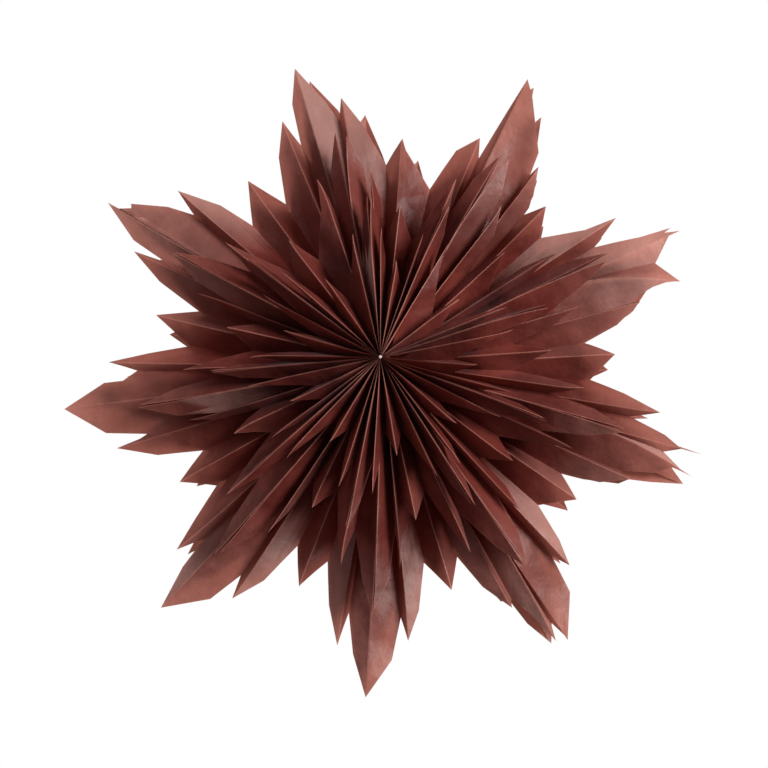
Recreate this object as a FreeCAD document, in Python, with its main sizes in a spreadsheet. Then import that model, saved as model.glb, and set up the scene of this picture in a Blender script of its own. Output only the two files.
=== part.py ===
import FreeCAD, Part
import math
import os

# A hanging paper star: nine pleated fans round a hub, each of six sheets, three in front and three behind.
# Frame: the star's axis is Y and its front faces -Y. +X is to the right and +Z up, seen from the front.
# The origin is the middle of the hub, in the plane where the front and rear halves meet.
# Directions are in degrees from +X towards +Z.

os.makedirs("parts", exist_ok=True)
doc = FreeCAD.newDocument("paper_star")
sheet = doc.addObject("Spreadsheet::Sheet", "sizes")

# The driving sizes, in mm and degrees.
sizes = [
    ("fanCount", 9),
    ("firstSeam", 26),
    ("hubFlat", 10),
    ("hubFront", 70),
    ("tierGap", 0.6),
    ("midGap", 0.15),
    ("pleatsFullAt", 60),
    ("paperAtHub", 2.0),
    ("paperAtRim", 0.7),
    ("flapPaper", 0.35),
    ("innerValleyTurn", 5.5),
    ("middleRidgeTurn", 7.9),
    ("outerValleyTurn", 13.3),
    ("longShoulderTurn", 3.9),
    ("middleShoulderTurn", 10.8),
    ("rearTrim", 8),
    ("beadRadius", 1.4),
    ("beadStand", 0.8),
    # Short tier: teeth, set-back of the rim from the hub's front, pleat depths.
    ("shortTwist", -5.5),
    ("shortLongReach", 156),
    ("shortLongShoulder", 130),
    ("shortInnerNotch", 104),
    ("shortMiddleReach", 123),
    ("shortMiddleShoulder", 99),
    ("shortOuterNotch", 74),
    ("shortShortReach", 90),
    ("shortRimBack", 13),
    ("shortHubPleat", 19),
    ("shortFullPleat", 17.5),
    ("shortRimPleat", 12),
    # Middle tier.
    ("middleTwist", 0),
    ("middleLongReach", 227),
    ("middleLongShoulder", 196),
    ("middleInnerNotch", 160),
    ("middleMiddleReach", 187),
    ("middleMiddleShoulder", 158),
    ("middleOuterNotch", 125),
    ("middleShortReach", 149),
    ("middleRimBack", 11),
    ("middleHubPleat", 19),
    ("middleFullPleat", 19.5),
    ("middleRimPleat", 13),
    # Long tier, whose valleys lie on the star's middle plane.
    ("longTwist", 0),
    ("longLongReach", 303),
    ("longLongShoulder", 265),
    ("longInnerNotch", 228),
    ("longMiddleReach", 255),
    ("longMiddleShoulder", 222),
    ("longOuterNotch", 186),
    ("longShortReach", 218),
    ("longRimBack", 23),
]
for row, (alias, value) in enumerate(sizes, 1):
    cell = "B" + str(row)
    sheet.set("A" + str(row), alias)
    sheet.set(cell, str(value))
    sheet.setAlias(cell, alias)
doc.recompute()


def size(alias):
    return float(sheet.get(alias))


fanCount = int(size("fanCount"))
fanTurn = 360.0 / fanCount
hubFlat = size("hubFlat")
pleatsFullAt = size("pleatsFullAt")

# How far each long tip and each short tip leans off its even place round the star, in degrees at the tip.
# The paper was opened by hand, so the nine fans aren't quite alike. One number for each fan, from firstSeam on.
leans = {
    "short": {
        "seam": [-2.1, 5.0, -4.5, 1.5, 2.3, -0.1, -1.9, 1.5, -1.3],
        "middle": [-2.6, 0.5, 3.5, 2.8, 3.5, -1.9, -1.5, -2.7, -3.8],
    },
    "middle": {
        "seam": [0.0, -3.7, -3.5, 3.8, 3.2, 3.0, 1.9, -1.2, -2.1],
        "middle": [0.5, 0.0, 0.8, -0.5, -2.4, -1.6, -3.3, -3.6, -1.0],
    },
    "long": {
        "seam": [-0.7, -1.6, 0.6, 1.7, -0.2, 0.5, 0.5, -2.8, -2.0],
        "middle": [-0.3, 0.3, -0.6, -0.5, 1.8, 2.1, 0.5, -1.2, -2.7],
    },
}


def tierSlabs():
    """Front and back of each tier at the hub, as distances in front of the middle plane."""
    slabs = {}
    front = size("hubFront")
    for tier in ("short", "middle"):
        back = front - size(tier + "HubPleat") - size("paperAtHub")
        slabs[tier] = (front, back)
        front = back - size("tierGap")
    slabs["long"] = (front, size("midGap"))
    return slabs


slabs = tierSlabs()


def ramp(r, r0, v0, r1, v1):
    """Value on a straight run from v0 at r0 to v1 at r1, held past the ends."""
    share = min(max((r - r0) / (r1 - r0), 0.0), 1.0)
    return v0 + (v1 - v0) * share


class FanTier:
    """The sizes of one tier, and the height of its ridges and valleys at each radius."""

    def __init__(self, tier, trim):
        self.tier = tier
        self.trim = trim
        self.front, self.back = slabs[tier]
        self.reach = self.cut("LongReach")

    def cut(self, name):
        return size(self.tier + name) - self.trim

    def paper(self, r):
        return ramp(r, hubFlat, size("paperAtHub"), self.reach, size("paperAtRim"))

    def ridge(self, r):
        """Distance of a ridge in front of the middle plane."""
        return ramp(r, hubFlat, self.front, self.reach, self.front - size(self.tier + "RimBack"))

    def valley(self, r):
        if self.tier == "long":
            return self.back + self.paper(r)
        full = size(self.tier + "FullPleat")
        if r < pleatsFullAt:
            depth = ramp(r, hubFlat, size(self.tier + "HubPleat"), pleatsFullAt, full)
        else:
            depth = ramp(r, pleatsFullAt, full, self.reach, size(self.tier + "RimPleat"))
        return self.ridge(r) - depth

    def seamFoot(self, r):
        """How far down the glued flap beside a seam reaches."""
        if self.tier == "long":
            return self.back
        return self.valley(r)


class SheetMesh:
    """Corner points and triangles of one closed sheet. Points are (radius, direction, height off the middle plane)."""

    def __init__(self, side):
        self.side = side
        self.points = []
        self.triangles = []

    def point(self, r, turn, height):
        self.points.append((r, turn, height))
        return len(self.points) - 1

    def triangle(self, a, b, c):
        self.triangles.append((a, b, c) if self.side > 0 else (a, c, b))

    def strip(self, left, right, turned):
        """Triangles between two rows of points that both run outwards, with turned for the other way round."""
        i = 0
        j = 0
        while i < len(left) - 1 or j < len(right) - 1:
            if j == len(right) - 1:
                stepLeft = True
            elif i == len(left) - 1:
                stepLeft = False
            else:
                stepLeft = self.points[left[i + 1]][0] <= self.points[right[j + 1]][0]
            if stepLeft:
                corners = (left[i], left[i + 1], right[j])
                i += 1
            else:
                corners = (left[i], right[j + 1], right[j])
                j += 1
            self.triangle(*(corners[::-1] if turned else corners))

    def band(self, outline, inline):
        """Triangles between two rows with the same number of points."""
        for a, b, c, d in zip(outline, outline[1:], inline[1:], inline):
            self.triangle(a, b, c)
            self.triangle(a, c, d)

    def solid(self):
        corners = []
        for r, turn, height in self.points:
            angle = math.radians(turn)
            corners.append(FreeCAD.Vector(r * math.cos(angle), -self.side * height, r * math.sin(angle)))
        shape = Part.Shape()
        shape.makeShapeFromMesh((corners, self.triangles), 1e-5)
        solid = Part.Solid(Part.Shell(shape.Faces))
        if solid.Volume < 0:
            solid.reverse()
        return solid


def hubRadius(turn):
    """Distance from the axis to the hub's flat side, in a direction turned off the fan's middle."""
    return hubFlat / math.cos(math.radians(turn))


def fanSheet(tier, side, fan):
    """One pleated sheet between two seams. Its middle lies along +X, and side is 1 in front and -1 behind."""
    form = FanTier(tier, size("rearTrim") if side < 0 and tier == "long" else 0.0)
    lean = leans[tier]
    startLean = lean["seam"][fan % len(lean["seam"])]
    endLean = lean["seam"][(fan + 1) % fanCount % len(lean["seam"])]
    middleLean = lean["middle"][fan % len(lean["middle"])]
    half = fanTurn / 2
    mesh = SheetMesh(side)

    def leaned(turn, r):
        """The direction of a fold at a radius: even near the hub, and leaning towards its own tip outside."""
        if turn < 0:
            off = ramp(turn, -half, startLean, 0.0, middleLean)
        else:
            off = ramp(turn, 0.0, middleLean, half, endLean)
        return turn + off * ramp(r, pleatsFullAt, 0.0, form.reach, 1.0)

    def seamPlace(seam, lean, r):
        """A point of a seam, which runs straight from the even part near the hub to the long tip."""
        start = (pleatsFullAt, math.radians(seam))
        end = (form.reach, math.radians(seam + lean))
        if r <= pleatsFullAt:
            return r, seam
        share = (r - pleatsFullAt) / (form.reach - pleatsFullAt)
        along = start[0] * math.cos(start[1]) * (1 - share) + end[0] * math.cos(end[1]) * share
        across = start[0] * math.sin(start[1]) * (1 - share) + end[0] * math.sin(end[1]) * share
        return math.hypot(along, across), math.degrees(math.atan2(across, along))

    def rail(turn, tip, height, lower):
        """Points along a fold on the front and the back of the paper, from the hub to the fold's end."""
        faces = ([], [])
        for r in (hubRadius(turn), pleatsFullAt, tip):
            h = height(r)
            faces[0].append(mesh.point(r, leaned(turn, r), h))
            faces[1].append(mesh.point(r, leaned(turn, r), h - lower(r)))
        return faces

    def shoulder(r, turn, ridgeTurn, valleyTurn):
        """Front and back points of a tooth's shoulder, on the facet between its ridge and the valley."""
        share = (turn - ridgeTurn) / (valleyTurn - ridgeTurn)
        h = form.ridge(r) + (form.valley(r) - form.ridge(r)) * share
        place = leaned(turn, r)
        return mesh.point(r, place, h), mesh.point(r, place, h - form.paper(r))

    # One half of the sheet, from a seam (sign -1 at the start, 1 at the end) to the middle ridge.
    outlineFront = {}
    outlineBack = {}
    hubFront = {}
    hubBack = {}
    middleFront, middleBack = rail(0.0, form.cut("ShortReach"), form.ridge, form.paper)
    for sign in (-1, 1):
        seam = sign * half
        innerValley = sign * (half - size("innerValleyTurn"))
        middleRidge = sign * (half - size("middleRidgeTurn"))
        outerValley = sign * (half - size("outerValleyTurn"))
        reach = form.reach
        shoulderAt = form.cut("LongShoulder")

        # The long fold on the seam, and the flap that runs down beside it.
        seamFront = []
        seamBack = []
        footOuter = []
        footInner = []
        for station in (hubRadius(half), pleatsFullAt, shoulderAt):
            r, place = seamPlace(seam, startLean if sign < 0 else endLean, station)
            inward = place - sign * math.degrees(size("flapPaper") / r)
            drop = form.ridge(r) - form.valley(r)
            valleyPlace = leaned(innerValley, r)
            share = (place - inward) / (place - valleyPlace)
            innerR = r
            if r < pleatsFullAt:
                innerR = hubRadius(half) * math.cos(math.radians(half)) / math.cos(math.radians(inward))
            if station != shoulderAt:
                seamFront.append(mesh.point(r, place, form.ridge(r)))
            seamBack.append(mesh.point(innerR, inward, form.ridge(r) - drop * share - form.paper(r)))
            footOuter.append(mesh.point(r, place, form.seamFoot(r)))
            footInner.append(mesh.point(innerR, inward, form.seamFoot(r)))
        tipFront = mesh.point(reach, leaned(seam, reach), form.ridge(reach))
        tipBack = mesh.point(reach, leaned(seam, reach), form.ridge(reach) - form.paper(reach))
        seamFront.append(tipFront)

        valleyFront, valleyBack = rail(innerValley, form.cut("InnerNotch"), form.valley, form.paper)
        ridgeFront, ridgeBack = rail(middleRidge, form.cut("MiddleReach"), form.ridge, form.paper)
        deepFront, deepBack = rail(outerValley, form.cut("OuterNotch"), form.valley, form.paper)
        longShoulder = shoulder(shoulderAt, sign * (half - size("longShoulderTurn")), seam, innerValley)
        midShoulder = shoulder(
            form.cut("MiddleShoulder"), sign * (half - size("middleShoulderTurn")), middleRidge, outerValley
        )

        # The facet beside the flap is split from the valley, so that its two faces stay apart near the hub.
        mesh.strip(valleyFront + [longShoulder[0]], seamFront, sign > 0)
        mesh.strip(valleyBack + [longShoulder[1]], seamBack + [tipBack], sign < 0)
        # The other facets of the front and, turned over, of the back.
        facets = (
            (valleyFront, ridgeFront, valleyBack, ridgeBack),
            (ridgeFront, deepFront + [midShoulder[0]], ridgeBack, deepBack + [midShoulder[1]]),
            (deepFront, middleFront, deepBack, middleBack),
        )
        for frontLeft, frontRight, backLeft, backRight in facets:
            mesh.strip(frontLeft, frontRight, sign < 0)
            mesh.strip(backLeft, backRight, sign > 0)

        # The flap: its glued face on the seam, its foot and its inner face.
        mesh.strip(seamFront, footOuter + [tipBack], sign > 0)
        mesh.strip(footOuter + [tipBack], footInner, sign > 0)
        mesh.strip(footInner + [tipBack], seamBack, sign > 0)

        # The cut edge from the seam's tip to the middle ridge's tip, and the inner end at the hub.
        outlineFront[sign] = [tipFront, longShoulder[0], valleyFront[-1], ridgeFront[-1], midShoulder[0], deepFront[-1]]
        outlineBack[sign] = [tipBack, longShoulder[1], valleyBack[-1], ridgeBack[-1], midShoulder[1], deepBack[-1]]
        hubFront[sign] = [seamFront[0], valleyFront[0], ridgeFront[0], deepFront[0]]
        hubBack[sign] = [seamBack[0], valleyBack[0], ridgeBack[0], deepBack[0]]
        flapEnd = (seamFront[0], seamBack[0], footInner[0], footOuter[0])
        if sign < 0:
            mesh.triangle(flapEnd[0], flapEnd[1], flapEnd[2])
            mesh.triangle(flapEnd[0], flapEnd[2], flapEnd[3])
        else:
            mesh.triangle(flapEnd[0], flapEnd[2], flapEnd[1])
            mesh.triangle(flapEnd[0], flapEnd[3], flapEnd[2])

    mesh.band(
        outlineFront[-1] + [middleFront[-1]] + outlineFront[1][::-1],
        outlineBack[-1] + [middleBack[-1]] + outlineBack[1][::-1],
    )
    mesh.band(
        hubBack[-1] + [middleBack[0]] + hubBack[1][::-1],
        hubFront[-1] + [middleFront[0]] + hubFront[1][::-1],
    )
    return mesh.solid()


# The fans: each sheet is made with its middle along +X and turned into place about the star's axis.
parts = []
for side, sideName in ((1, "front"), (-1, "rear")):
    for tier in ("short", "middle", "long"):
        for fan in range(fanCount):
            feature = doc.addObject("Part::Feature", "Fan")
            feature.Label = sideName + "_" + tier + "_fan_" + str(fan + 1)
            feature.Shape = fanSheet(tier, side, fan)
            direction = size("firstSeam") + size(tier + "Twist") + fanTurn * (fan + 0.5)
            turn = FreeCAD.Rotation(FreeCAD.Vector(0, 1, 0), -direction)
            feature.Placement = FreeCAD.Placement(FreeCAD.Vector(0, 0, 0), turn)
            parts.append(feature)

# The hub core: one many-sided length for each tier, its flats against the inner ends of that tier's sheets.
lengths = []
for side in (1, -1):
    for tier in ("short", "middle", "long"):
        front, back = slabs[tier]
        if tier == "long":
            back = 0.0
        else:
            back = back - size("tierGap")
        prism = doc.addObject("Part::Prism", "HubLength")
        prism.setExpression("Polygon", "sizes.fanCount")
        prism.setExpression("Circumradius", "sizes.hubFlat / cos(180 deg / sizes.fanCount)")
        prism.Height = front - back
        # The prism's own axis is turned onto -Y (front) or Y (rear), with a corner on a seam.
        corner = size("firstSeam") + size(tier + "Twist")
        tip = FreeCAD.Rotation(FreeCAD.Vector(1, 0, 0), 90)
        spin = FreeCAD.Rotation(FreeCAD.Vector(0, 1, 0), -corner)
        start = -front if side > 0 else back
        prism.Placement = FreeCAD.Placement(FreeCAD.Vector(0, start + (front - back), 0), spin.multiply(tip))
        lengths.append(prism)
core = doc.addObject("Part::MultiFuse", "HubCore")
core.Label = "hub_core"
core.Shapes = lengths
core.Placement = FreeCAD.Placement()
parts.append(core)

# The pale bead of glue at the front of the hub.
bead = doc.addObject("Part::Cylinder", "Bead")
bead.Label = "front_glue_bead"
bead.setExpression("Radius", "sizes.beadRadius")
bead.setExpression("Height", "sizes.beadStand")
bead.Placement = FreeCAD.Placement(
    FreeCAD.Vector(0, -size("hubFront"), 0), FreeCAD.Rotation(FreeCAD.Vector(1, 0, 0), 90)
)
parts.append(bead)

doc.recompute()

for thing in doc.Objects:
    if "Invalid" in thing.State or "Error" in thing.State:
        raise RuntimeError(thing.Label + " failed to build")
for feature in parts:
    shape = feature.Shape
    if shape.isNull() or not shape.isValid() or not shape.isClosed():
        raise RuntimeError(feature.Label + " has no valid closed shape")
    if shape.Volume <= 0:
        raise RuntimeError(feature.Label + " is inside out")
for feature in parts:
    feature.Shape.exportStep("parts/" + feature.Label + ".step")
triangleCount = sum(len(feature.Shape.Faces) for feature in parts)
print("parts", len(parts), "faces", triangleCount)
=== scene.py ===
import math

import bpy
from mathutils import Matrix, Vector, noise


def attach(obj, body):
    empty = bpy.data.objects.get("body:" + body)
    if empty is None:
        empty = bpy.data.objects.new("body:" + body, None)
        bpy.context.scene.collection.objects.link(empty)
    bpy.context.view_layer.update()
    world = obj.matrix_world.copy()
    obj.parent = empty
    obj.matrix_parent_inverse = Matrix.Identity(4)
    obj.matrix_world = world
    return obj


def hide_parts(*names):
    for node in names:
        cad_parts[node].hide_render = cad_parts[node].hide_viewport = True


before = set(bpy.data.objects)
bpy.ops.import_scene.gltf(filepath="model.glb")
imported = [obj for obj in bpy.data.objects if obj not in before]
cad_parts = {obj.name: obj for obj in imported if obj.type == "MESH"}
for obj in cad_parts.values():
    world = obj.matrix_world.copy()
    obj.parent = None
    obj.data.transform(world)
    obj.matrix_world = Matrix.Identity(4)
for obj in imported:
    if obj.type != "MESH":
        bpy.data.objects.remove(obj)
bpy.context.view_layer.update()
print("frame loaded")

# The star: nine fans round a hub. Its axis is Y, its front faces -Y, and the origin is the middle of the hub.
# Lengths are in metres, directions in degrees from +X towards +Z.
fanCount = 9
star = {
    "reach": 0.302,
    "hubRadius": 0.0016,
    "gluedRadius": 0.03,  # inside it the glue keeps the paper flat
    "midRadius": 0.2,
    "rows": 34,
    "rowCrowding": 1.15,  # above 1 the rows lie closer at the rim
    "panel": 0.027,  # the flat width of one facet
    "leastDepth": 0.45,  # of a fold, as a share of half its width
    "foldWidth": 0.00045,
    "foldShoulder": 2.3,
    "foldShares": (0.12, 0.24),  # the most of a facet that a fold and its shoulder take up
    "ragged": {"short": 0.0035, "middle": 0.0035, "long": 0.00075},
    "dipShare": 0.8,
    "shoulderShares": (0.75, 0.7),
    "belly": 0.0012,
    "wave": 0.0013,
    "waves": ((14, 1.6), (45, 0.5)),  # scale and share
    "waveShift": (3.7, 5.1, 1.9),  # for each fan, side and tier
    "seamGap": 0.00003,
    "openStart": 0.60,
    "openCurve": 1.3,
    "curl": 0.005,
    "curlStart": 0.55,
    "hook": 0.8,
    "hookStart": 0.86,
    "seamHook": 0.3,
    "ridgeLight": (0.10, 1.0, 0.20, 0.72),  # painted highlight along the ridges: radius and strength inside, radius and strength outside
    # How pale the cut edge is drawn.
    "paleRim": 0.6,
}

# The two upper tiers: heights of the ridges in front of the middle plane at the hub and the rim, how deep the pleats
# may go, and the teeth. Tooth tips are listed by their directions; reaches and notches are in millimetres from the
# axis. A shoulder is (degrees from the tip, millimetres from the axis).
tiers = {
    "short": {
        "ridge": (0.0700, 0.0570),
        "depth": (0.0205, 0.0160),
        "seam": [18.4, 67.6, 95.2, 142.0, 182.8, 220.4, 258.6, 302.0, 339.2],
        "before": [11.2, 60.0, 90.4, 137.5, 177.2, 215.0, 252.1, 294.7, 332.8],
        "after": [22.2, 72.0, 103.2, 150.4, 190.0, 225.2, 266.0, 306.4, 344.4],
        "middle": [37.9, 81.0, 124.0, 163.3, 205.0, 238.6, 279.0, 317.8, 354.7],
        "reach": (157, 123, 91),
        "notch": (90, 62),
        "shoulder": ((2.7, 130), (2.4, 99)),
        "outerDip": 6.5,
    },
    "middle": {
        "ridge": (0.0484, 0.0374),
        "depth": (0.0205, 0.0150),
        "seam": [26.0, 61.3, 101.5, 150.8, 189.2, 229.0, 267.9, 304.8, 343.9],
        "before": [15.5, 53.0, 93.5, 141.5, 180.5, 219.5, 257.8, 294.4, 335.0],
        "after": [32.8, 69.0, 108.5, 157.5, 196.0, 236.0, 275.0, 312.0, 351.5],
        "middle": [42.5, 84.0, 126.8, 165.5, 203.6, 243.4, 281.7, 321.4, 363.5],
        "reach": (227, 187, 150),
        "notch": (152, 119),
        "shoulder": ((3.4, 195), (2.9, 158)),
        "outerDip": 6.0,
    },
    "long": {"ridge": (0.0268, 0.0040), "depth": (0.0255, 0.0030), "reach": (302, 256, 215)},
}
# The long fans were cut and opened by hand, so each has corners of its own. For each fan, from seam to seam, the
# direction and the millimetres from the axis of: long tip, its shoulder, notch, lower tip, its shoulder, notch,
# middle tip, and back the other way.
longCorners = {
    "front": [
        [(25.3, 302), (27.6, 266), (30.9, 224), (33.3, 256), (35.2, 226), (41.3, 190), (45.6, 214),
         (49.2, 196), (50.3, 216), (53.0, 238), (54.2, 231), (55.5, 253), (64.5, 309)],
        [(64.5, 309), (65.4, 272), (67.0, 222), (68.3, 239), (72.7, 221), (77.0, 180), (86.2, 223),
         (90.2, 201), (95.4, 240), (99.1, 269), (100.5, 249), (102.5, 270), (106.5, 309)],
        [(106.5, 309), (109.0, 277), (110.2, 236), (112.2, 263), (116.1, 232), (120.2, 191), (125.3, 227),
         (131.4, 193), (133.9, 226), (138.2, 265), (139.6, 241), (141.8, 264), (147.6, 314)],
        [(147.6, 314), (151.2, 274), (152.2, 238), (153.4, 267), (157.1, 232), (160.6, 188), (165.4, 223),
         (171.1, 187), (174.5, 223), (177.2, 260), (178.5, 234), (181.2, 264), (185.7, 302)],
        [(185.7, 302), (191.4, 267), (193.8, 226), (195.4, 259), (199.3, 226), (202.3, 185), (207.9, 216),
         (213.2, 188), (217.6, 223), (220.6, 253), (222.2, 227), (223.6, 259), (226.5, 299)],
        [(226.5, 299), (232.2, 264), (234.3, 230), (236.3, 252), (239.8, 223), (242.9, 181), (248.2, 214),
         (252.8, 183), (256.4, 222), (260.0, 256), (261.1, 224), (263.3, 261), (266.5, 299)],
        [(266.5, 299), (271.0, 265), (273.2, 227), (274.7, 250), (277.6, 223), (280.8, 181), (286.4, 212),
         (290.4, 184), (293.5, 219), (297.1, 247), (298.2, 238), (299.8, 262), (301.4, 293)],
        [(303.2, 298), (308.9, 264), (311.0, 229), (312.3, 247), (314.7, 224), (317.7, 187), (324.7, 212),
         (328.7, 187), (331.3, 221), (334.8, 246), (335.8, 233), (337.4, 262), (339.7, 296)],
        [(344.0, 297), (346.0, 262), (348.6, 228), (349.9, 254), (353.6, 220), (356.9, 187), (363.1, 211),
         (367.7, 185), (370.7, 216), (374.3, 242), (375.2, 234), (375.8, 258), (376.4, 283)],
    ],
    "rear": [
        [(22.5, 266), (26.0, 236), (29.5, 206), (32.0, 238), (35.0, 205), (38.0, 178), (43.8, 203),
         (48.6, 178), (49.6, 206), (52.6, 234), (54.0, 214), (56.2, 252), (59.6, 287)],
        [(59.6, 287), (63.0, 240), (65.0, 206), (67.0, 232), (70.4, 206), (77.0, 174), (82.4, 210),
         (88.0, 180), (91.4, 214), (95.0, 254), (98.0, 236), (100.4, 262), (104.4, 298)],
        [(104.4, 298), (107.6, 250), (109.0, 214), (111.0, 254), (114.6, 212), (120.0, 180), (126.2, 208),
         (131.6, 180), (133.6, 208), (137.0, 247), (139.0, 228), (141.2, 258), (145.2, 299)],
        [(145.2, 299), (148.6, 254), (150.4, 214), (152.0, 246), (155.8, 212), (161.6, 180), (168.0, 212),
         (173.0, 180), (176.0, 210), (179.6, 246), (180.6, 226), (181.4, 250), (182.7, 272)],
        [(182.7, 272), (188.0, 240), (191.4, 208), (193.6, 244), (197.4, 208), (203.4, 178), (209.3, 206),
         (213.4, 178), (218.2, 214), (221.6, 248), (223.0, 236), (224.0, 256), (225.2, 276)],
        [(225.2, 276), (229.4, 244), (232.6, 210), (234.8, 240), (238.6, 206), (242.6, 174), (247.4, 204),
         (252.6, 174), (255.6, 206), (259.0, 242), (261.0, 214), (262.8, 246), (265.3, 283)],
        [(265.3, 283), (269.6, 246), (272.0, 212), (273.8, 240), (277.0, 206), (281.0, 174), (286.2, 202),
         (290.6, 174), (293.2, 206), (296.4, 236), (297.6, 240), (298.6, 266), (300.7, 291)],
        [(300.7, 291), (306.8, 250), (309.6, 214), (311.4, 238), (314.6, 206), (317.0, 178), (322.2, 209),
         (328.0, 178), (330.6, 206), (333.8, 236), (335.0, 244), (336.4, 262), (338.4, 290)],
        [(338.4, 290), (345.0, 250), (347.6, 214), (349.2, 244), (352.6, 206), (356.0, 178), (360.6, 204),
         (367.6, 178), (370.4, 206), (373.4, 236), (375.4, 244), (378.6, 260), (382.5, 266)],
    ],
}
# Seams of the front where the two long tips have come apart: the first tip's distance from the seam in degrees, how
# far out the opened fold between them reaches, and where the parting is at its full width.
opened = {0: (9.0, 0.268, 0.283), 7: (1.8, 0.276, 0.293), 8: (4.9, 0.262, 0.295)}
webSlant = 0.016
# How far other fans' last tips have come away from the seam, in degrees at the tip.
partings = {
    "short": [1.2, 1.0, 1.4, 0.5, 0.4, 0.5, 0.6, 0.8, 0.6],
    "middle": [1.6, 2.2, 2.6, 0.4, 0.5, 0.7, 0.4, 0.6, 0.8],
}
# Extra corners where a cut wandered, by tier, side, fan and facet: (direction, metres from the axis).
nicks = {
    ("long", "front", 0, 0): [(25.64, 0.2956), (26.51, 0.2952), (26.19, 0.2878)],
    ("long", "front", 0, 7): [(63.22, 0.3019), (62.83, 0.3047), (62.32, 0.2965)],
    ("long", "front", 1, 3): [(85.0, 0.2119)],
    ("long", "front", 2, 7): [(147.47, 0.3018), (146.17, 0.292), (145.45, 0.2945)],
    ("long", "front", 3, 7): [(180.91, 0.2469)],
    ("long", "front", 7, 7): [(339.3, 0.277)],
    ("long", "front", 8, 0): [(344.35, 0.276)],
}
# Panels with a painted sheen, a pale grey-pink standing in for the bright room's light reflected off them, by tier,
# side, fan and facet: how strongly, and between which distances from the axis in metres. Facet 8 is the opened fold
# beside the fan's last tip.
paintedSheenPanels = {
    ("long", "front", 0, 0): (0.37, 0.15, 0.31),
    ("long", "front", 0, 2): (0.51, 0.12, 0.26),
    ("long", "front", 1, 5): (0.41, 0.13, 0.27),
    ("long", "front", 1, 7): (0.58, 0.15, 0.31),
    ("long", "front", 2, 5): (0.48, 0.15, 0.27),
    ("long", "front", 3, 0): (0.20, 0.18, 0.31),
    ("long", "front", 4, 7): (0.44, 0.17, 0.31),
    ("long", "front", 5, 2): (0.37, 0.14, 0.26),
    ("long", "front", 6, 2): (0.34, 0.15, 0.26),
    ("long", "front", 6, 7): (0.54, 0.18, 0.31),
    ("long", "front", 7, 2): (0.48, 0.12, 0.26),
    ("long", "front", 7, 5): (0.22, 0.16, 0.25),
    ("long", "front", 7, 8): (0.58, 0.12, 0.30),
    ("long", "front", 8, 7): (0.37, 0.16, 0.31),
    ("middle", "front", 4, 0): (0.36, 0.08, 0.18),
    ("middle", "front", 7, 7): (0.22, 0.13, 0.24),
    ("short", "front", 2, 0): (1.00, 0.030, 0.102),
    ("long", "rear", 0, 2): (0.41, 0.12, 0.26),
    ("long", "rear", 3, 5): (0.41, 0.12, 0.26),
    ("long", "rear", 5, 3): (0.48, 0.10, 0.26),
    ("long", "rear", 7, 0): (0.41, 0.14, 0.30),
    ("middle", "rear", 2, 4): (0.34, 0.09, 0.20),
    ("middle", "rear", 6, 2): (0.34, 0.09, 0.20),
}


def ramp(x, x0, v0, x1, v1):
    share = min(max((x - x0) / (x1 - x0), 0.0), 1.0)
    return v0 + (v1 - v0) * share


# A steady number from -1 to 1 for a fold, the same in every run.
def scatter(*keys):
    seed = sum((i + 1) * 12.9898 * k for i, k in enumerate(keys))
    value = math.sin(seed) * 43758.5453
    return 2.0 * (value - math.floor(value)) - 1.0


def unwrapped(turn, near):
    while turn < near - 180:
        turn += 360
    while turn > near + 180:
        turn -= 360
    return turn


def plan(turn, reach):
    return Vector((reach * math.cos(math.radians(turn)), reach * math.sin(math.radians(turn))))


# How far from the axis a ray meets the straight cuts between the corners, each (direction, reach).
def cutReach(turn, corners):
    for (turnA, reachA), (turnB, reachB) in zip(corners, corners[1:]):
        if min(turnA, turnB) - 1e-6 <= turn <= max(turnA, turnB) + 1e-6 and abs(turnA - turnB) > 1e-6:
            start = plan(turnA, reachA)
            cut = plan(turnB, reachB) - start
            return start.cross(cut) / plan(turn, 1.0).cross(cut)
    return corners[-1][1]


# The corners of a fan's cut edge, from seam to seam, as (direction, metres from the axis).
def fanCorners(tierName, sideName, fan):
    tier = tiers[tierName]
    key = len(tierName) + (7 if sideName == "rear" else 0)
    rough = star["ragged"][tierName]
    if tierName == "long":
        cuts = enumerate(longCorners[sideName][fan])
        return [(turn, r / 1000 + rough * scatter(fan, n, key)) for n, (turn, r) in cuts]
    after = (fan + 1) % fanCount
    middle = tier["middle"][fan]
    teeth = (("seam", fan, 0), ("after", fan, 1), ("middle", fan, 2), ("before", after, 1), ("seam", after, 0))
    tips = []
    for n, (name, seam, level) in enumerate(teeth):
        reach = tier["reach"][level] / 1000 + rough * scatter(fan, n, key)
        tips.append((unwrapped(tier[name][seam], middle), reach))
    tips[4] = (tips[4][0] - partings[tierName][after], tips[4][1])
    inner, outer = (n / 1000 for n in tier["notch"])
    nearShare, farShare = star["shoulderShares"]
    (near, nearReach), (far, farReach) = tier["shoulder"]
    halves = []
    for tip, lower, away in ((tips[0], tips[1], 1), (tips[4], tips[3], -1)):
        dip = tip[0] + star["dipShare"] * (lower[0] - tip[0])
        notch = middle - away * tier["outerDip"]
        halves.append([
            tip,
            (tip[0] + away * min(near, nearShare * abs(dip - tip[0])), nearReach / 1000),
            (dip, inner + rough * scatter(fan, 6 + away, key)),
            lower,
            (lower[0] + away * min(far, farShare * abs(notch - lower[0])), farReach / 1000),
            (notch, outer + rough * scatter(fan, 9 + away, key)),
        ])
    return halves[0] + [tips[2]] + halves[1][::-1]


# The eight facets of a fan's sheet: the first and last of a fan's corners that each takes, and whether its ridge
# comes first.
facetSpans = [
    (0, 2, True), (2, 3, False), (3, 5, True), (5, 6, False),
    (6, 7, True), (7, 9, False), (9, 10, True), (10, 12, False),
]
facetCount = len(facetSpans)


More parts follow.
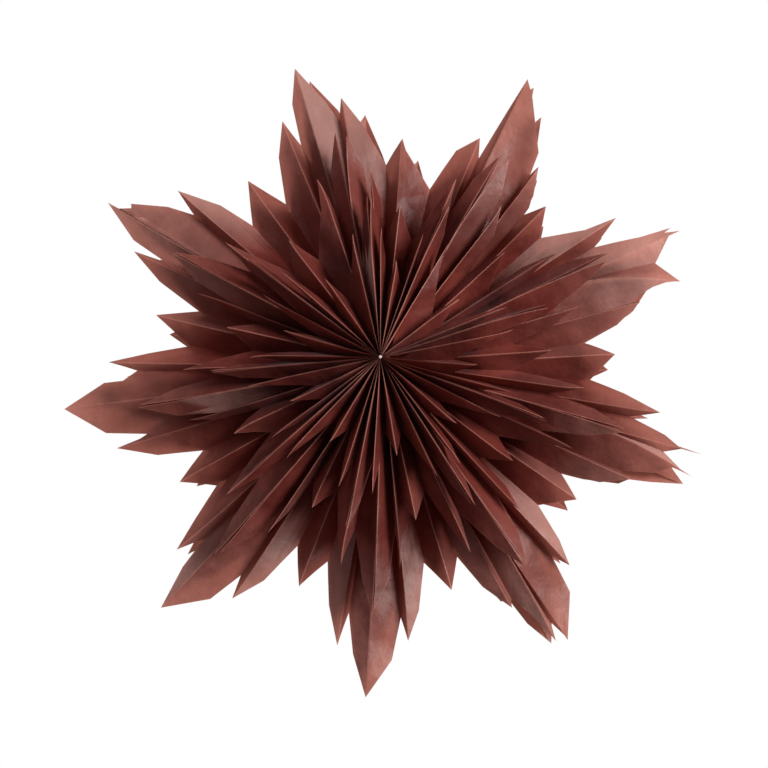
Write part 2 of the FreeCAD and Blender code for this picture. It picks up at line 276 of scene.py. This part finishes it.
# For each facet its ridge, its valley, its cut edge from the ridge, and whether the ridge comes first.
def fanFacets(corners, key):
    facets = []
    for first, last, fromRidge in facetSpans:
        cut = corners[first : last + 1]
        if not fromRidge:
            cut = cut[::-1]
        extra = nicks.get((*key, len(facets)), [])
        cut[1:-1] = sorted(cut[1:-1] + extra, key=lambda corner: abs(corner[0] - cut[0][0]))
        facets.append((cut[0], cut[-1], cut, fromRidge))
    return facets


# How far the flap beside a seam goes down: shares of the pleats' depth at the hub and the rim, rows over which it
# narrows to nothing, and metres where a seam has opened and beyond the opened fold.
flapLook = {"hubShare": 0.9, "rimShare": 0.6, "narrowRows": 4, "openDrop": 0.004, "tipDrop": 0.0006}
# Panels that aren't listed get a little of the painted sheen too, at random. Lengths are in metres.
paintedSheenLook = {"most": 0.14, "start": 0.1, "end": 1.0, "fadeIn": 0.07, "fadeOut": 0.01}


# One pleated sheet of paper: rows run out from the hub and columns across the folds.
def sheetMesh(name, tierName, sideName, fan):
    tier = tiers[tierName]
    side = 1 if sideName == "front" else -1
    facets = fanFacets(fanCorners(tierName, sideName, fan), (tierName, sideName, fan))
    after = (fan + 1) % fanCount
    isOpened = sideName == "front" and tierName == "long"
    longReach = tier["reach"][0] / 1000
    closed = (0.0, None, longReach)
    startGap, startWeb, startFull = opened.get(fan, closed) if isOpened else closed
    endGap, endWeb, endFull = opened.get(after, closed) if isOpened else closed
    if tierName != "long":
        endGap = partings[tierName][after]
    hub = star["hubRadius"]
    width = star["foldWidth"]
    rows = star["rows"]
    key = Vector([n * shift for n, shift in zip((fan, side, len(tierName)), star["waveShift"])])
    # The folds in order: a ridge at each even place, a valley at each odd one.
    folds = [facets[0][0]]
    for ridge, valley, cut, fromRidge in facets:
        folds.append(valley if fromRidge else ridge)
    tilt = [star["curl"] * scatter(fan, i, len(tierName), side) for i in range(facetCount + 1)]
    hook = math.radians(star["hook"] * (star["seamHook"] if isOpened else 1.0))
    hooks = [hook * scatter(fan + 2, i, len(tierName), side) for i in range(facetCount + 1)]
    # Along a seam both fans bend alike.
    for place, seam, web in ((0, fan, startWeb), (facetCount, after, endWeb)):
        tilt[place] = star["curl"] * scatter(seam, 20, len(tierName), side)
        hooks[place] = 0.0 if web else star["seamHook"] * hook * scatter(seam, 21, len(tierName), side)

    def ridgeHeight(r):
        return ramp(r, 0.0, tier["ridge"][0], longReach, tier["ridge"][1])

    def foldHeight(index, r):
        if index % 2 == 0:
            # Each tip bows a little out of the sheet, more towards its point.
            reach = folds[index][1]
            lift = tilt[index] * ramp(r, star["curlStart"] * reach, 0.0, reach, 1.0) ** 2
            return ridgeHeight(r) + (abs(lift) if tierName == "long" else lift)
        half = math.radians(abs(folds[index + 1][0] - folds[index - 1][0])) * r / 2
        limit = ramp(r, 0.0, tier["depth"][0], longReach, tier["depth"][1])
        depth = max(star["leastDepth"] * half, math.sqrt(max(star["panel"] ** 2 - half ** 2, 0.0)))
        return ridgeHeight(r) - min(limit, depth)

    # A tip that has come away from its seam does so only outside the glued length.
    def openShare(r, tip):
        return ramp(r, star["openStart"] * tip, 0.0, tip, 1.0) ** star["openCurve"]

    points = []
    creases = []
    reaches = []
    grains = []
    grid = []
    foldColumns = []
    for facet, (ridge, valley, cut, fromRidge) in enumerate(facets):
        turned = valley[0] - ridge[0]
        besideSeam = facet in (0, facetCount - 1)
        even, odd = (facet, facet + 1) if fromRidge else (facet + 1, facet)
        knees = [(turn - ridge[0]) / turned for turn, reach in cut[1:-1]] or [0.5]
        # Shares across the facet from its ridge; the two narrow ones beside the fold are in metres.
        marks = [("share", 0.0), ("metres", width), ("metres", star["foldShoulder"] * width)]
        marks += [("share", knee) for knee in knees]
        marks += [("share", (knees[-1] + 1) / 2), ("share", 1.0)]
        if not fromRidge:
            marks.reverse()
        for kind, mark in marks[0 if facet == 0 else 1:]:
            if kind == "share" and mark in (0.0, 1.0):
                foldColumns.append(len(grid))
            onRidge = kind == "share" and mark == 0.0
            besideRidge = kind == "metres" and mark == width
            nominal = mark if kind == "share" else mark / (math.radians(abs(turned)) * star["midRadius"])
            end = cutReach(ridge[0] + turned * nominal, cut)
            column = []
            for row in range(rows + 1):
                t = 1.0 - (1.0 - row / rows) ** star["rowCrowding"]
                r = hub + (end - hub) * t
                across = mark
                if kind == "metres":
                    span = max(math.radians(abs(turned)) * r, 1e-5)
                    across = min(mark / span, star["foldShares"][0 if besideRidge else 1])
                    if row == rows:
                        across = nominal
                turn = ridge[0] + turned * across
                height = foldHeight(even, r) * (1 - across) + foldHeight(odd, r) * across
                if onRidge:
                    # A fold is slightly rounded.
                    height -= 0.5 * width
                belly = math.sin(math.pi * across) * star["belly"] * ramp(r, star["gluedRadius"], 0.0, 0.15, 1.0)
                height -= belly * scatter(fan, facet, len(tierName))
                angle = math.radians(turn)
                grains.append((angle * star["midRadius"] + fan * 0.31, r, 0.17 * side + len(tierName) * 0.23))
                # The very tips are bent a little to one side.
                tip = folds[even][1]
                nearTip = ramp(r, star["hookStart"] * tip, 0.0, tip, 1.0) ** 2 * (1 - across)
                angle += hooks[even] * nearTip
                spot = Vector((r * math.cos(angle), 0.0, r * math.sin(angle)))
                grow = ramp(r, star["gluedRadius"], 0.0, star["midRadius"], 1.0) * (across if besideSeam else 1.0)
                swell = sum(share * noise.noise(spot * scale + key) for scale, share in star["waves"])
                height += grow * star["wave"] * swell
                if besideSeam:
                    # Neighbouring fans keep a hair apart along the seam, and some tips have come away from it.
                    closeness = 1 - across
                    gap = star["seamGap"] * closeness * min(r / star["gluedRadius"], 1.0)
                    angle += (gap if facet == 0 else -gap) / max(r, 0.002)
                    if facet > 0:
                        angle += math.radians(endGap) * closeness * (1.0 - openShare(r, endFull))
                column.append(len(points))
                points.append(Vector((r * math.cos(angle), -side * height, r * math.sin(angle))))
                # Painted highlights along the ridges, strongest where they stand highest, near the middle; the cut
                # edge gets a pale line too.
                ridgeLight = ramp(r, *star["ridgeLight"])
                crease = ridgeLight if onRidge else (0.85 * ridgeLight if besideRidge else 0.0)
                creases.append(max(crease, star["paleRim"]) if row == rows else crease)
                reaches.append(r / star["reach"])
            grid.append(column)

    # The flaps that run down beside each seam, hidden between the fans. Where a seam has opened, its two flaps turn
    # towards each other and show.
    hubDrop = flapLook["hubShare"] * tier["depth"][0]
    rimDrop = flapLook["rimShare"] * tier["depth"][1]
    for edge, gap, web, full, way in ((0, startGap, startWeb, startFull, -1), (-1, endGap, endWeb, endFull, 1)):
        flap = []
        for row, index in enumerate(grid[edge]):
            p = points[index]
            r = math.hypot(p.x, p.z)
            drop = ramp(r, 0.0, hubDrop, longReach, rimDrop)
            drop *= 1.0 if web else min((rows - row) / flapLook["narrowRows"], 1.0)
            angle = math.atan2(p.z, p.x)
            if web and r <= web + webSlant:
                # The opened fold's edge runs midway between the two tips' folds.
                parting = math.radians(gap)
                midway = parting / 2 * openShare(min(r, web), full)
                angle += parting * openShare(r, full) - midway if way > 0 else -midway
                r = min(r, web)
                drop = max(drop, flapLook["openDrop"])
            elif web:
                drop = flapLook["tipDrop"]
            flap.append(len(points))
            points.append(Vector((r * math.cos(angle), p.y + side * drop, r * math.sin(angle))))
            creases.append(0.0)
            reaches.append(reaches[index])
            grains.append((grains[index][0] + 0.003 * way, grains[index][1], grains[index][2]))
        if edge == 0:
            grid.insert(0, flap)
        else:
            grid.append(flap)

    faces = []
    for left, right in zip(grid, grid[1:]):
        for row in range(rows):
            quad = (left[row], right[row], right[row + 1], left[row + 1])
            faces.append(quad if side > 0 else quad[::-1])
    mesh = bpy.data.meshes.new(name)
    mesh.from_pydata(points, [], faces)
    mesh.attributes.new("crease", "FLOAT", "POINT").data.foreach_set("value", creases)
    mesh.attributes.new("outward", "FLOAT", "POINT").data.foreach_set("value", reaches)
    mesh.attributes.new("grain", "FLOAT_VECTOR", "POINT").data.foreach_set("vector", [n for g in grains for n in g])
    # How much painted sheen each face gets.
    paintedSheen = []
    for column in range(len(grid) - 1):
        facet = facetCount if column == len(grid) - 2 else sum(1 for place in foldColumns[1:-1] if column >= place + 1)
        tint = paintedSheenLook["most"] * max(0.0, scatter(fan + 5, facet, len(tierName), side))
        usual = (tint, paintedSheenLook["start"], paintedSheenLook["end"])
        share, start, end = paintedSheenPanels.get((tierName, sideName, fan, facet), usual)
        for index in grid[max(column, 1)][:-1]:
            r = math.hypot(points[index].x, points[index].z)
            inside = ramp(r, start, 0.0, start + paintedSheenLook["fadeIn"], 1.0)
            paintedSheen.append(share * inside * ramp(r, end, 1.0, end + paintedSheenLook["fadeOut"], 0.0))
    mesh.attributes.new("paintedSheen", "FLOAT", "FACE").data.foreach_set("value", paintedSheen)
    mesh.polygons.foreach_set("use_smooth", [True] * len(mesh.polygons))
    sharp = set()
    for place in foldColumns:
        rail = grid[place + 1]
        sharp.update((min(p, q), max(p, q)) for p, q in zip(rail, rail[1:]))
    for edge in mesh.edges:
        edge.use_edge_sharp = tuple(sorted(edge.vertices)) in sharp
    mesh.validate()
    return mesh


# The paper's pattern: scale, detail and, where it follows the pleats, how it is squeezed.
paperGrain = {
    "blot": (13.0, 3.0, None),
    "mottle": (160.0, 3.0, None),
    "lines": (34.0, 4.0, (26.0, 1.0, 1.0)),
    "fibre": (210.0, 2.0, (6.0, 1.0, 1.0)),
    "cloudy": (46.0, 3.0, None),
    "buckle": (15.0, 1.5, None),
}
# How much of each goes into the tone, the broad buckles and the fine tooth; a relief has a strength and a depth.
paperBlends = {
    "tone": [("blot", 0.54), ("cloudy", 0.21), ("mottle", 0.12), ("lines", 0.07), ("fibre", 0.06)],
    "wide": [("buckle", 0.88), ("cloudy", 0.12)],
    "fine": [("mottle", 0.5), ("fibre", 0.5)],
}
paperRelief = {"wide": (1.0, 0.018), "fine": (0.5, 0.0003)}


# Thin dyed paper: cloudy tone, faint lines along the pleats and fine crumples, as a tone mask and a surface normal.
def paperGroup():
    group = bpy.data.node_groups.new("paperFibre", "ShaderNodeTree")
    group.interface.new_socket("Tone", in_out="OUTPUT", socket_type="NodeSocketFloat")
    group.interface.new_socket("Normal", in_out="OUTPUT", socket_type="NodeSocketVector")
    nodes, links = group.nodes, group.links
    out = nodes.new("NodeGroupOutput")
    place = nodes.new("ShaderNodeTexCoord")
    along = nodes.new("ShaderNodeAttribute")
    along.attribute_name = "grain"

    def field(scale, detail, squeezed):
        source = place.outputs["Object"]
        if squeezed:
            squeeze = nodes.new("ShaderNodeVectorMath")
            squeeze.operation = "MULTIPLY"
            squeeze.inputs[1].default_value = squeezed
            links.new(along.outputs["Vector"], squeeze.inputs[0])
            source = squeeze.outputs[0]
        cloud = nodes.new("ShaderNodeTexNoise")
        cloud.inputs["Scale"].default_value = scale
        cloud.inputs["Detail"].default_value = detail
        links.new(source, cloud.inputs["Vector"])
        return cloud.outputs["Fac"]

    fields = {name: field(*grain) for name, grain in paperGrain.items()}

    def blend(parts):
        total = None
        for name, weight in parts:
            step = nodes.new("ShaderNodeMath")
            step.operation = "MULTIPLY_ADD"
            step.inputs[1].default_value = weight
            step.inputs[2].default_value = 0.0
            links.new(fields[name], step.inputs[0])
            if total is not None:
                links.new(total, step.inputs[2])
            total = step.outputs[0]
        return total

    def relief(name):
        bump = nodes.new("ShaderNodeBump")
        strength, depth = paperRelief[name]
        bump.inputs["Strength"].default_value = strength
        bump.inputs["Distance"].default_value = depth
        links.new(blend(paperBlends[name]), bump.inputs["Height"])
        return bump

    links.new(blend(paperBlends["tone"]), out.inputs["Tone"])
    wide = relief("wide")
    fine = relief("fine")
    links.new(wide.outputs["Normal"], fine.inputs["Normal"])
    links.new(fine.outputs["Normal"], out.inputs["Normal"])
    return group


paperLook = {
    "deep": (0.088, 0.012, 0.009, 1.0),
    "plain": (0.208, 0.041, 0.031, 1.0),
    # Painted light: the paler, pinker colour towards the tips.
    "paintedTipLight": (0.455, 0.190, 0.152, 1.0),
    # Painted sheen: the pale grey-pink of reflected room light.
    "paintedSheen": (0.540, 0.330, 0.290, 1.0),
    # Painted highlight along the ridges, also used for the pale cut edge.
    "paleRidgeAndRim": (0.62, 0.27, 0.21, 1.0),
    "through": (0.62, 0.20, 0.145, 1.0),
    "throughShare": 0.26,
    "roughness": 0.44,
    "refraction": 1.45,
    "gloss": 0.32,
    "sheen": 0.04,
    "sheenRoughness": 0.45,
    "sheenTint": (0.78, 0.76, 0.86, 1.0),
    # From, to, and what these become.
    "toneRange": (0.40, 0.62, 0.0, 1.0),
    # Painted light towards the tips, and its patches:
    "paintedLightOutwards": (0.54, 1.04, 0.0, 0.84),
    "paintedLightPatches": (0.38, 0.62, 0.58, 1.2),
    "ridgeLightAndRimRange": (0.35, 1.0, 0.0, 0.66),
}


def paperMaterial():
    mat = bpy.data.materials.new("mahoganyPaper")
    mat.use_nodes = True
    nodes, links = mat.node_tree.nodes, mat.node_tree.links
    nodes.clear()
    out = nodes.new("ShaderNodeOutputMaterial")
    face = nodes.new("ShaderNodeBsdfPrincipled")
    face.inputs["Roughness"].default_value = paperLook["roughness"]
    face.inputs["IOR"].default_value = paperLook["refraction"]
    face.inputs["Specular IOR Level"].default_value = paperLook["gloss"]
    face.inputs["Sheen Weight"].default_value = paperLook["sheen"]
    face.inputs["Sheen Roughness"].default_value = paperLook["sheenRoughness"]
    face.inputs["Sheen Tint"].default_value = paperLook["sheenTint"]
    fibre = nodes.new("ShaderNodeGroup")
    fibre.node_tree = paperGroup()

    def mapped(source, name):
        node = nodes.new("ShaderNodeMapRange")
        for label, value in zip(("From Min", "From Max", "To Min", "To Max"), paperLook[name]):
            node.inputs[label].default_value = value
        links.new(source, node.inputs["Value"])
        return node.outputs["Result"]

    def sheetValue(name):
        node = nodes.new("ShaderNodeAttribute")
        node.attribute_name = name
        return node.outputs["Fac"]

    def towards(name, share, colour=None):
        node = nodes.new("ShaderNodeMix")
        node.data_type = "RGBA"
        node.inputs[7].default_value = paperLook[name]
        links.new(share, node.inputs[0])
        if colour is None:
            node.inputs[6].default_value = paperLook["deep"]
        else:
            links.new(colour, node.inputs[6])
        return node.outputs[2]

    colour = towards("plain", mapped(fibre.outputs["Tone"], "toneRange"))
    # Painted light: the colour turns paler and pinker towards the tips, in patches, standing in for the shade deep in
    # the pleats near the hub and the light through the thin paper at the tips.
    paintedLight = nodes.new("ShaderNodeMath")
    paintedLight.operation = "MULTIPLY"
    paintedLight.use_clamp = True
    links.new(mapped(sheetValue("outward"), "paintedLightOutwards"), paintedLight.inputs[0])
    links.new(mapped(fibre.outputs["Tone"], "paintedLightPatches"), paintedLight.inputs[1])
    colour = towards("paintedTipLight", paintedLight.outputs[0], colour)
    # Painted sheen: some panels turn a pale grey-pink that stands in for the bright room's light reflected off them.
    colour = towards("paintedSheen", sheetValue("paintedSheen"), colour)
    # Painted highlights make the ridges pale, and the cut edge is drawn paler too.
    colour = towards("paleRidgeAndRim", mapped(sheetValue("crease"), "ridgeLightAndRimRange"), colour)
    links.new(colour, face.inputs["Base Color"])
    links.new(fibre.outputs["Normal"], face.inputs["Normal"])
    through = nodes.new("ShaderNodeBsdfTranslucent")
    through.inputs["Color"].default_value = paperLook["through"]
    mix = nodes.new("ShaderNodeMixShader")
    mix.inputs[0].default_value = paperLook["throughShare"]
    links.new(face.outputs[0], mix.inputs[1])
    links.new(through.outputs[0], mix.inputs[2])
    links.new(mix.outputs[0], out.inputs["Surface"])
    return mat


glueLook = {"dull": (0.55, 0.42, 0.36, 1.0), "pale": (0.80, 0.72, 0.66, 1.0), "roughness": 0.35, "grain": 700.0}


def glueMaterial():
    mat = bpy.data.materials.new("paleGlue")
    mat.use_nodes = True
    nodes, links = mat.node_tree.nodes, mat.node_tree.links
    face = nodes["Principled BSDF"]
    face.inputs["Roughness"].default_value = glueLook["roughness"]
    cloud = nodes.new("ShaderNodeTexNoise")
    cloud.inputs["Scale"].default_value = glueLook["grain"]
    tint = nodes.new("ShaderNodeMix")
    tint.data_type = "RGBA"
    tint.inputs[6].default_value = glueLook["dull"]
    tint.inputs[7].default_value = glueLook["pale"]
    links.new(cloud.outputs["Fac"], tint.inputs[0])
    links.new(tint.outputs[2], face.inputs["Base Color"])
    return mat


paper = paperMaterial()
glue = glueMaterial()
print("materials made")

# The sheets, each in place of its own node.
for sideName in ("front", "rear"):
    for tierName in ("short", "middle", "long"):
        for fan in range(fanCount):
            node = "_".join((sideName, tierName, "fan", str(fan + 1)))
            piece = bpy.data.objects.new("sheet_" + node, sheetMesh("sheet_" + node, tierName, sideName, fan))
            bpy.context.scene.collection.objects.link(piece)
            piece.data.materials.append(paper)
            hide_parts(node)
            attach(piece, "root")
print("sheets made")

# The spine that the sheets are glued round: a slender twist of paper edges down the star's axis.
spineLook = {"radius": 0.0019, "groove": 0.72, "front": 0.0515, "sides": 45, "levels": (-1.0, -0.5, 0.0, 0.5, 1.0)}


def spineMesh():
    points = []
    faces = []
    sides = spineLook["sides"]
    levels = spineLook["levels"]
    for level in levels:
        for n in range(sides * 2):
            angle = math.pi * n / sides
            r = spineLook["radius"] * (1.0 if n % 2 == 0 else spineLook["groove"])
            points.append((r * math.cos(angle), level * spineLook["front"], r * math.sin(angle)))
    ring = sides * 2
    for level in range(len(levels) - 1):
        for n in range(ring):
            m = (n + 1) % ring
            faces.append((level * ring + n, level * ring + m, (level + 1) * ring + m, (level + 1) * ring + n))
    faces.append(tuple(range(ring))[::-1])
    faces.append(tuple((len(levels) - 1) * ring + n for n in range(ring)))
    mesh = bpy.data.meshes.new("spine")
    mesh.from_pydata(points, [], faces)
    return mesh


spine = bpy.data.objects.new("glued_spine", spineMesh())
bpy.context.scene.collection.objects.link(spine)
spine.data.materials.append(paper)
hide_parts("hub_core")
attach(spine, "root")

# The pale bead of glue in the middle of the front.
beadLook = {"radius": 0.0015, "height": 0.0009, "seat": -0.0699, "lobes": 3, "lobe": 0.07, "rings": 6, "around": 24}


def beadMesh():
    points = []
    faces = []
    around = beadLook["around"]
    seat = beadLook["seat"]
    for ring in range(beadLook["rings"]):
        lift = math.radians(90.0 * ring / beadLook["rings"])
        for n in range(around):
            angle = 2 * math.pi * n / around
            lobed = 1 + beadLook["lobe"] * math.sin(beadLook["lobes"] * angle + 1.0)
            r = beadLook["radius"] * math.cos(lift) * lobed
            y = seat - beadLook["height"] * math.sin(lift)
            points.append((r * math.cos(angle), y, r * math.sin(angle)))
    top = len(points)
    points.append((0.0, seat - beadLook["height"], 0.0))
    base = len(points)
    points.append((0.0, seat, 0.0))
    for ring in range(beadLook["rings"] - 1):
        for n in range(around):
            m = (n + 1) % around
            faces.append((ring * around + n, ring * around + m, (ring + 1) * around + m, (ring + 1) * around + n))
    last = (beadLook["rings"] - 1) * around
    for n in range(around):
        m = (n + 1) % around
        faces.append((last + n, last + m, top))
        faces.append((m, n, base))
    mesh = bpy.data.meshes.new("bead")
    mesh.from_pydata(points, [], faces)
    mesh.polygons.foreach_set("use_smooth", [True] * len(mesh.polygons))
    return mesh


bead = bpy.data.objects.new("glue_bead", beadMesh())
bpy.context.scene.collection.objects.link(bead)
bead.data.materials.append(glue)
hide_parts("front_glue_bead")
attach(bead, "root")
print("hub made")

# Camera: a little to the right of the star and below it. The photograph is 768 pixels square, and the middle of
# the star lies a few pixels right of and above the image's middle.
view = {
    "azimuth": 5.0,
    "elevation": -12.0,
    "distance": 2.2,
    "metresPerPixel": 0.000926,
    "centrePixel": (387.0, 373.0),
    "imageSide": 768.0,
    "sensor": 36.0,
}


def aimedCamera():
    data = bpy.data.cameras.new("camera")
    camera = bpy.data.objects.new("camera", data)
    bpy.context.scene.collection.objects.link(camera)
    azimuth = math.radians(view["azimuth"])
    elevation = math.radians(view["elevation"])
    place = Vector((
        math.sin(azimuth) * math.cos(elevation),
        -math.cos(azimuth) * math.cos(elevation),
        math.sin(elevation),
    )) * view["distance"]
    camera.location = place
    camera.rotation_euler = (-place).to_track_quat("-Z", "Y").to_euler()
    data.sensor_width = view["sensor"]
    data.lens = view["sensor"] * view["distance"] / (view["imageSide"] * view["metresPerPixel"])
    data.shift_x = -(view["centrePixel"][0] - view["imageSide"] / 2) / view["imageSide"]
    data.shift_y = (view["centrePixel"][1] - view["imageSide"] / 2) / view["imageSide"]
    bpy.context.scene.camera = camera


aimedCamera()

# Light: a white room, with a large soft window to the upper right in front and daylight on the wall behind.
lamps = {
    "window": {"place": (1.9, -1.5, 0.48), "size": 1.1, "power": 80.0, "colour": (1.0, 0.98, 0.96)},
    "fill": {"place": (-1.4, -1.8, 0.5), "size": 1.6, "power": 8.0, "colour": (0.98, 0.96, 0.98)},
    "behind": {"place": (0.4, 1.6, 0.4), "size": 1.8, "power": 30.0, "colour": (1.0, 0.98, 0.96)},
}
for name, lamp in lamps.items():
    data = bpy.data.lights.new(name, "AREA")
    data.shape = "DISK"
    data.size = lamp["size"]
    data.energy = lamp["power"]
    data.color = lamp["colour"]
    light = bpy.data.objects.new(name, data)
    light.location = lamp["place"]
    light.rotation_euler = (-Vector(lamp["place"])).to_track_quat("-Z", "Y").to_euler()
    light.visible_camera = False
    bpy.context.scene.collection.objects.link(light)

roomLight = {"backdrop": (1.0, 1.0, 1.0, 1.0), "room": (0.86, 0.83, 0.83, 1.0), "strength": 0.16}
world = bpy.data.worlds.new("room")
world.use_nodes = True
bpy.context.scene.world = world
nodes, links = world.node_tree.nodes, world.node_tree.links
nodes.clear()
worldOut = nodes.new("ShaderNodeOutputWorld")
room = nodes.new("ShaderNodeBackground")
room.inputs["Color"].default_value = roomLight["room"]
room.inputs["Strength"].default_value = roomLight["strength"]
backdrop = nodes.new("ShaderNodeBackground")
backdrop.inputs["Color"].default_value = roomLight["backdrop"]
rays = nodes.new("ShaderNodeLightPath")
pick = nodes.new("ShaderNodeMixShader")
links.new(rays.outputs["Is Camera Ray"], pick.inputs[0])
links.new(room.outputs[0], pick.inputs[1])
links.new(backdrop.outputs[0], pick.inputs[2])
links.new(pick.outputs[0], worldOut.inputs["Surface"])
bpy.context.scene.view_settings.view_transform = "Standard"
print("camera and lights made")
